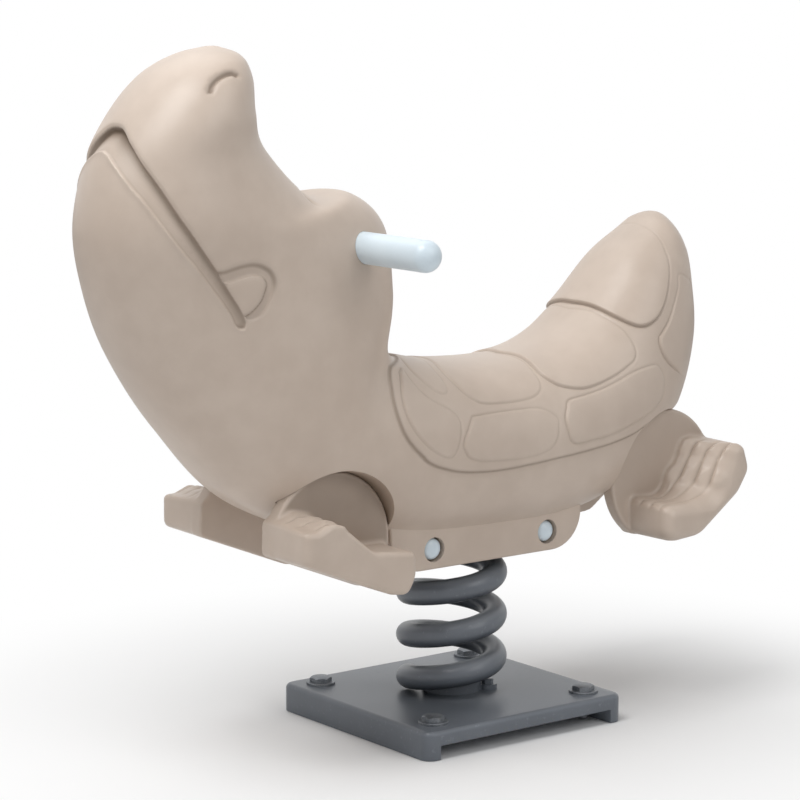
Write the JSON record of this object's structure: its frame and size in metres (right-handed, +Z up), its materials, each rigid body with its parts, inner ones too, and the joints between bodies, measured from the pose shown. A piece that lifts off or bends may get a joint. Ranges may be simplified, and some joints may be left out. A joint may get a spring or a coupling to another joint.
{
  "type": "spring rider",
  "caption": "Playground spring rider: a hollow moulded turtle with handlebar and footrests, bolted to a coil spring on a steel ground plate.",
  "frame": {"origin": "on the ground under the middle of the ground plate, on the axis of the spring", "axes": "+X forwards towards the head, +Y to the animal's left, +Z up"},
  "size_m": [0.8755, 0.43, 0.8326],
  "materials": {
    "beige_plastic": "satin rotomoulded polyethylene",
    "white_plastic": "smooth bluish white",
    "dark_paint": "blue-grey powder coat",
    "zinc": "zinc plated"
  },
  "bodies": {
    "base": {"base_plate": "dark_paint", "anchor_bolts": "zinc", "anchor_washers": "zinc", "lower_hub": "dark_paint", "lower_hub_bolts": "dark_paint", "lower_hub_nuts": "zinc"},
    "spring": {"spring": "dark_paint"},
    "rider": {"upper_hub": "dark_paint", "upper_hub_bolts": "zinc", "spring_head": "dark_paint", "cross_bolts": "zinc", "cross_washers": "zinc", "cross_nuts": "zinc", "spacer_tubes": "zinc", "bolt_caps": "white_plastic", "body_shell": "beige_plastic", "handle_tube": "zinc", "grip_left": "white_plastic", "grip_right": "white_plastic", "front_foot_left": "beige_plastic", "front_foot_right": "beige_plastic", "rear_foot_left": "beige_plastic", "rear_foot_right": "beige_plastic", "front_tie_rod": "zinc", "rear_tie_rod": "zinc", "foot_inserts": "zinc"}
  },
  "joints": [
    {"name": "rock_fore_aft", "type": "hinge", "parent": "base", "child": "spring", "pos_m": [0, 0, 0.09], "axis": [0, 1, 0], "range_deg": [-20, 20], "stiffness_Nm_per_rad": 800, "deforming": ["spring"]},
    {"name": "rock_side", "type": "hinge", "parent": "spring", "child": "rider", "pos_m": [0, 0, 0.17], "axis": [1, 0, 0], "range_deg": [-15, 15], "stiffness_Nm_per_rad": 800, "deforming": ["spring"]}
  ]
}
